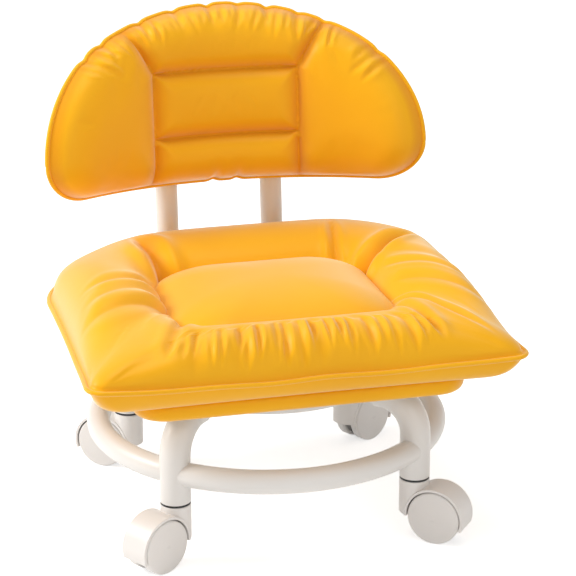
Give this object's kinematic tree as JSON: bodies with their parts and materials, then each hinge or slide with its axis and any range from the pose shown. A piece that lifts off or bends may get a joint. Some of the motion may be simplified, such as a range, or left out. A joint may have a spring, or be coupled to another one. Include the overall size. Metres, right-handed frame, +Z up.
{
  "type": "rolling stool",
  "caption": "Low rolling stool: padded leather seat and curved backrest on a tubular frame with a round foot ring and twin-wheel swivel casters.",
  "frame": {"origin": "on the floor under the middle of the stool's outline in plan", "axes": "+Z up, -Y towards the front edge of the seat, +X to the right as seen from the front"},
  "size_m": [0.3952, 0.4044, 0.4417],
  "materials": {
    "cream_paint": "semi-gloss powder coat",
    "cream_plastic": "moulded, soft gloss",
    "black_nylon": "matt",
    "zinc_steel": "bright zinc plate",
    "plywood": "plain",
    "amber_leather": "smooth, soft sheen"
  },
  "bodies": {
    "base": {"leg_front_left": "cream_paint", "leg_front_right": "cream_paint", "leg_rear_left": "cream_paint", "leg_rear_right": "cream_paint", "ring_arc_front": "cream_paint", "ring_arc_right": "cream_paint", "ring_arc_rear": "cream_paint", "ring_arc_left": "cream_paint", "mounting_dish": "cream_paint", "stem_socket_front_left": "black_nylon", "stem_socket_front_right": "black_nylon", "stem_socket_rear_left": "black_nylon", "stem_socket_rear_right": "black_nylon", "dish_screws": "zinc_steel", "dish_tee_nuts": "zinc_steel", "seat_board": "plywood", "seat_base_wrap": "amber_leather", "seat_cushion": "amber_leather", "seat_piping": "amber_leather", "back_post_left": "cream_paint", "back_post_right": "cream_paint", "rail_plugs": "black_nylon", "rail_screws": "zinc_steel", "rail_tee_nuts": "zinc_steel", "backrest_board": "plywood", "backrest_front_pad": "amber_leather", "backrest_rear_pad": "amber_leather", "backrest_piping": "amber_leather", "back_screws": "zinc_steel", "back_tee_nuts": "zinc_steel"},
    "caster_front_left": {"caster_front_left_hood": "cream_plastic", "caster_front_left_stem": "zinc_steel", "caster_front_left_grip_ring": "zinc_steel", "caster_front_left_axle": "zinc_steel"},
    "wheel_front_left_left": {"caster_front_left_wheel_left": "cream_plastic"},
    "wheel_front_left_right": {"caster_front_left_wheel_right": "cream_plastic"},
    "caster_front_right": {"caster_front_right_hood": "cream_plastic", "caster_front_right_stem": "zinc_steel", "caster_front_right_grip_ring": "zinc_steel", "caster_front_right_axle": "zinc_steel"},
    "wheel_front_right_left": {"caster_front_right_wheel_left": "cream_plastic"},
    "wheel_front_right_right": {"caster_front_right_wheel_right": "cream_plastic"},
    "caster_rear_left": {"caster_rear_left_hood": "cream_plastic", "caster_rear_left_stem": "zinc_steel", "caster_rear_left_grip_ring": "zinc_steel", "caster_rear_left_axle": "zinc_steel"},
    "wheel_rear_left_left": {"caster_rear_left_wheel_left": "cream_plastic"},
    "wheel_rear_left_right": {"caster_rear_left_wheel_right": "cream_plastic"},
    "caster_rear_right": {"caster_rear_right_hood": "cream_plastic", "caster_rear_right_stem": "zinc_steel", "caster_rear_right_grip_ring": "zinc_steel", "caster_rear_right_axle": "zinc_steel"},
    "wheel_rear_right_left": {"caster_rear_right_wheel_left": "cream_plastic"},
    "wheel_rear_right_right": {"caster_rear_right_wheel_right": "cream_plastic"}
  },
  "joints": [
    {"name": "swivel_front_left", "type": "hinge", "parent": "base", "child": "caster_front_left", "pos_m": [-0.112, -0.138, 0.058], "axis": [0, 0, 1], "continuous": true},
    {"name": "roll_front_left_left", "type": "hinge", "parent": "caster_front_left", "child": "wheel_front_left_left", "pos_m": [-0.13235, -0.15072, 0.025], "axis": [0.5299, -0.848, 0], "continuous": true},
    {"name": "roll_front_left_right", "type": "hinge", "parent": "caster_front_left", "child": "wheel_front_left_right", "pos_m": [-0.13235, -0.15072, 0.025], "axis": [0.5299, -0.848, 0], "continuous": true},
    {"name": "swivel_front_right", "type": "hinge", "parent": "base", "child": "caster_front_right", "pos_m": [0.112, -0.138, 0.058], "axis": [0, 0, 1], "continuous": true},
    {"name": "roll_front_right_left", "type": "hinge", "parent": "caster_front_right", "child": "wheel_front_right_left", "pos_m": [0.13065, -0.1531, 0.025], "axis": [0.6293, 0.7771, 0], "continuous": true},
    {"name": "roll_front_right_right", "type": "hinge", "parent": "caster_front_right", "child": "wheel_front_right_right", "pos_m": [0.13065, -0.1531, 0.025], "axis": [0.6293, 0.7771, 0], "continuous": true},
    {"name": "swivel_rear_left", "type": "hinge", "parent": "base", "child": "caster_rear_left", "pos_m": [-0.112, 0.086, 0.058], "axis": [0, 0, 1], "continuous": true},
    {"name": "roll_rear_left_left", "type": "hinge", "parent": "caster_rear_left", "child": "wheel_rear_left_left", "pos_m": [-0.13117, 0.10044, 0.025], "axis": [-0.6018, -0.7986, 0], "continuous": true},
    {"name": "roll_rear_left_right", "type": "hinge", "parent": "caster_rear_left", "child": "wheel_rear_left_right", "pos_m": [-0.13117, 0.10044, 0.025], "axis": [-0.6018, -0.7986, 0], "continuous": true},
    {"name": "swivel_rear_right", "type": "hinge", "parent": "base", "child": "caster_rear_right", "pos_m": [0.112, 0.086, 0.058], "axis": [0, 0, 1], "continuous": true},
    {"name": "roll_rear_right_left", "type": "hinge", "parent": "caster_rear_right", "child": "wheel_rear_right_left", "pos_m": [0.13235, 0.09872, 0.025], "axis": [-0.5299, 0.848, 0], "continuous": true},
    {"name": "roll_rear_right_right", "type": "hinge", "parent": "caster_rear_right", "child": "wheel_rear_right_right", "pos_m": [0.13235, 0.09872, 0.025], "axis": [-0.5299, 0.848, 0], "continuous": true}
  ]
}
